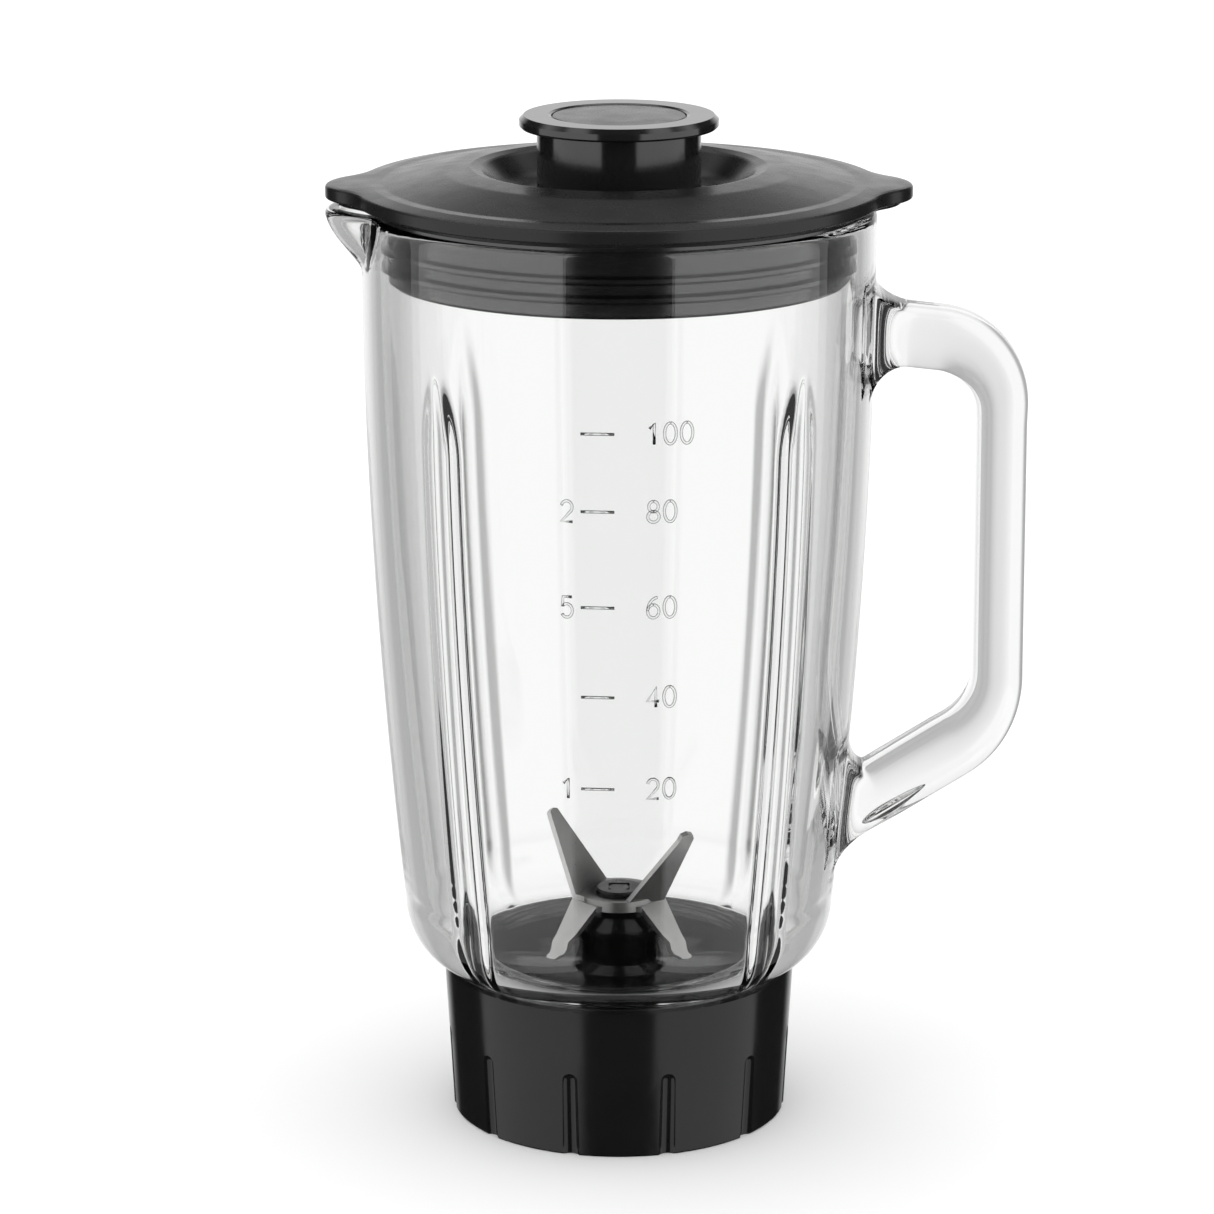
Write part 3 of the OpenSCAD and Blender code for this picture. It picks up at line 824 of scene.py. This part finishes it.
# Material of each CAD node that is shown, and the width of its rounded edges in millimetres
FINISH = {
    "base_collar": ("gloss_black", 0.35),
    "blade_carrier": ("black_moulding", 0.3),
    "bearing_sleeve": ("steel", 0.25),
    "upper_bush": ("bronze", 0.2),
    "lower_bush": ("bronze", 0.2),
    "shaft_seal": ("black_rubber", 0),
    "drive_shaft": ("dark_steel", 0),
    "upper_thrust_washer": ("steel", 0.1),
    "lower_thrust_washer": ("steel", 0.1),
    "retaining_clip": ("steel", 0.1),
    "blade_spacer": ("black_moulding", 0.3),
    "lower_blade": ("blade_steel", 0.22),
    "upper_blade": ("blade_steel", 0.22),
    "blade_nut": ("dark_steel", 0.12),
    "coupling_insert": ("steel", 0.3),
    "drive_coupling": ("black_rubber", 0.4),
    "jar_gasket": ("black_rubber", 0.2),
    "lid_seal": ("seal_rubber", 0.2),
    "filler_cap": ("cap_black", 0.3),
    "cap_top_disc": ("satin_black", 0.1),
    "cap_seal": ("black_rubber", 0),
}


def finish_nodes():
    for name, (finish, edge) in FINISH.items():
        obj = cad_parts[name]
        for slot in obj.material_slots:
            slot.material = MATERIALS[finish]
        if edge:
            bevel = obj.modifiers.new("rounded_edges", "BEVEL")
            bevel.width = edge * MM
            bevel.segments = 2
            bevel.limit_method = "ANGLE"
            bevel.angle_limit = math.radians(35)
            bevel.harden_normals = True


finish_nodes()


# ---------------------------------------------------------------- stage, light and camera


def stage_plane(name, size, centre, rotation, material):
    """A flat sheet that belongs to the stage and not to the object."""
    mesh = bpy.data.meshes.new(name)
    w, h = size[0] / 2, size[1] / 2
    bm = bmesh.new()
    bm.faces.new([bm.verts.new(p) for p in ((-w, -h, 0), (w, -h, 0), (w, h, 0), (-w, h, 0))])
    bm.to_mesh(mesh)
    bm.free()
    obj = bpy.data.objects.new(name, mesh)
    obj.location = centre
    obj.rotation_euler = rotation
    bpy.context.scene.collection.objects.link(obj)
    mesh.materials.append(material)
    return obj


def floor():
    """Pale floor; reflections and views through glass pass it and see the panels, cards and backdrop."""
    material, nodes, where = new_material("pale_floor")
    tone = nodes.blend(nodes.noise(where, 3, 2), grey(0.88), grey(0.9))
    pale = nodes.add("ShaderNodeBsdfDiffuse", inputs={"Color": tone}).outputs["BSDF"]
    clear = nodes.add("ShaderNodeBsdfTransparent").outputs["BSDF"]
    path = nodes.add("ShaderNodeLightPath")
    inputs = {0: path.outputs["Glossy Depth"], 1: path.outputs["Transmission Depth"]}
    indirect = nodes.add("ShaderNodeMath", operation="ADD", inputs=inputs).outputs[0]
    both = nodes.add("ShaderNodeMixShader", inputs={0: indirect, 1: pale, 2: clear}).outputs["Shader"]
    nodes.add("ShaderNodeOutputMaterial", inputs={"Surface": both})
    plane = stage_plane("floor", (9, 9), (0, 0, 0), (0, 0, 0), material)
    plane.visible_glossy = False


PANEL_WIDTH = 2.5
PANEL_HEIGHT = 6.0
PANEL_MIDDLE_Z = 1.5
PANEL_AWAY = 1.5
PANEL_LEVEL = 0.8


def panel(name, azimuth):
    """A tall soft panel that shows in reflections; azimuth 0 is on the camera's side, 90 is +X."""
    a = math.radians(azimuth)
    data = bpy.data.lights.new(name, "AREA")
    data.shape = "RECTANGLE"
    data.size = PANEL_WIDTH
    data.size_y = PANEL_HEIGHT
    data.energy = PANEL_LEVEL * PANEL_WIDTH * PANEL_HEIGHT * pi
    obj = bpy.data.objects.new(name, data)
    obj.location = (sin(a) * PANEL_AWAY, -cos(a) * PANEL_AWAY, PANEL_MIDDLE_Z)
    obj.rotation_euler = (math.radians(90), 0, a)
    obj.visible_camera = False
    obj.visible_diffuse = False
    bpy.context.scene.collection.objects.link(obj)


CARD_WIDTH = 0.36
CARD_HEIGHT = 1.4
CARD_GAP = 0.075
CARD_BEHIND = 0.45
CARD_MIDDLE_Z = 0.1

# Share of the card's width, from its inner edge outward, and brightness there; the first two are its ends
CARD_TONES = [(0.0, 1.0), (1.0, 0.55), (0.1, 0.9), (0.2, 0.78), (0.36, 0.52), (0.6, 0.5)]


def card(name, side):
    """A grey card beside the view, seen only straight through glass, that tones the glass's edges."""
    material, nodes, where = new_material(name)
    across = nodes.add("ShaderNodeSeparateXYZ", inputs={0: where}).outputs["X"]
    share = nodes.between(across, 0.0, 1.0, -side * CARD_WIDTH / 2, side * CARD_WIDTH / 2)
    ramp = nodes.add("ShaderNodeValToRGB", inputs={"Fac": share})
    stops = ramp.color_ramp.elements
    for i, (at, level) in enumerate(CARD_TONES):
        stop = stops[i] if i < 2 else stops.new(at)
        stop.position = at
        stop.color = (level, level, level, 1)
    light = nodes.add("ShaderNodeEmission", inputs={"Color": ramp.outputs["Color"]}).outputs["Emission"]
    clear = nodes.add("ShaderNodeBsdfTransparent").outputs["BSDF"]
    reflected = nodes.add("ShaderNodeLightPath").outputs["Glossy Depth"]
    both = nodes.add("ShaderNodeMixShader", inputs={0: reflected, 1: light, 2: clear}).outputs["Shader"]
    nodes.add("ShaderNodeOutputMaterial", inputs={"Surface": both})
    place = (side * (CARD_GAP + CARD_WIDTH / 2), CARD_BEHIND, CARD_MIDDLE_Z)
    plane = stage_plane(name, (CARD_WIDTH, CARD_HEIGHT), place, (math.radians(90), 0, 0), material)
    plane.visible_camera = False
    plane.visible_diffuse = False
    plane.visible_glossy = False
    plane.visible_shadow = False


def lights():
    panel("left_panel", -64)
    panel("right_panel", 64)
    card("left_card", -1)
    card("right_card", 1)


FLOOR_LIGHT = 1.4  # what matt surfaces get from the world; the view itself sees 1.0
TOP_FLOOR = 0.02  # least light from above and in front


def sky():
    """Even white light; reflections see a bright low band behind, a bright top, and dark in front.

    Reflections inside a single wall of glass see a light backdrop with lighter sides instead.
    """
    world = bpy.data.worlds.new("studio")
    bpy.context.scene.world = world
    world.use_nodes = True
    nodes = Nodes(world.node_tree)
    direction = nodes.add("ShaderNodeTexCoord").outputs["Generated"]
    way = nodes.add("ShaderNodeSeparateXYZ", inputs={0: direction})
    path = nodes.add("ShaderNodeLightPath")

    def math_node(operation, *values):
        node = nodes.add("ShaderNodeMath", operation=operation, inputs=dict(enumerate(values)))
        return node.outputs[0]

    def switch(share, first, second):
        return nodes.add("ShaderNodeMix", inputs={0: share, 2: first, 3: second}).outputs[0]

    back = nodes.between(way.outputs["Y"], 0.0, 1.0, 0.8, 0.94)
    low = nodes.between(way.outputs["Z"], 1.0, 0.1, 0.3, 0.5)
    high = nodes.between(way.outputs["Z"], 0.0, 0.8, 0.58, 0.69)
    not_front = nodes.between(way.outputs["Y"], 0.0, 1.0, 0.15, 0.4)
    above = math_node("MULTIPLY_ADD", high, not_front, TOP_FLOOR)
    outer = math_node("MULTIPLY_ADD", back, low, above)
    sides = nodes.between(way.outputs["Y"], 0.02, 0.5, 0.0, 0.4)
    centre = nodes.between(way.outputs["Y"], 0.0, 0.45, 0.8, 0.93)
    inner = math_node("ADD", sides, centre)
    in_wall = math_node("COMPARE", path.outputs["Transmission Depth"], 1.5, 1.0)
    mirrored = switch(in_wall, outer, inner)
    through = switch(path.outputs["Glossy Depth"], 1.0, mirrored)
    level = switch(path.outputs["Diffuse Depth"], through, FLOOR_LIGHT)
    light = nodes.add("ShaderNodeBackground", inputs={"Color": (1, 1, 1, 1), "Strength": level})
    nodes.add("ShaderNodeOutputWorld", inputs={"Surface": light.outputs["Background"]})
    world.cycles.sampling_method = "NONE"


CAMERA_LENS = 144.5
CAMERA_SHIFT_X = -0.0099
CAMERA_PLACE = (0, -1.2945, 0.4866)
CAMERA_PITCH = 14.853


def camera():
    data = bpy.data.cameras.new("camera")
    data.lens = CAMERA_LENS
    data.sensor_width = 36
    data.shift_x = CAMERA_SHIFT_X
    data.clip_end = 50
    obj = bpy.data.objects.new("camera", data)
    obj.location = CAMERA_PLACE
    obj.rotation_euler = (math.radians(90 - CAMERA_PITCH), 0, 0)
    bpy.context.scene.collection.objects.link(obj)
    bpy.context.scene.camera = obj


floor()
lights()
sky()
camera()

scene = bpy.context.scene
scene.view_settings.view_transform = "Standard"
scene.cycles.max_bounces = 40
scene.cycles.transmission_bounces = 32
scene.cycles.glossy_bounces = 8
scene.cycles.use_denoising = True
scene.cycles.caustics_reflective = False
scene.cycles.caustics_refractive = False
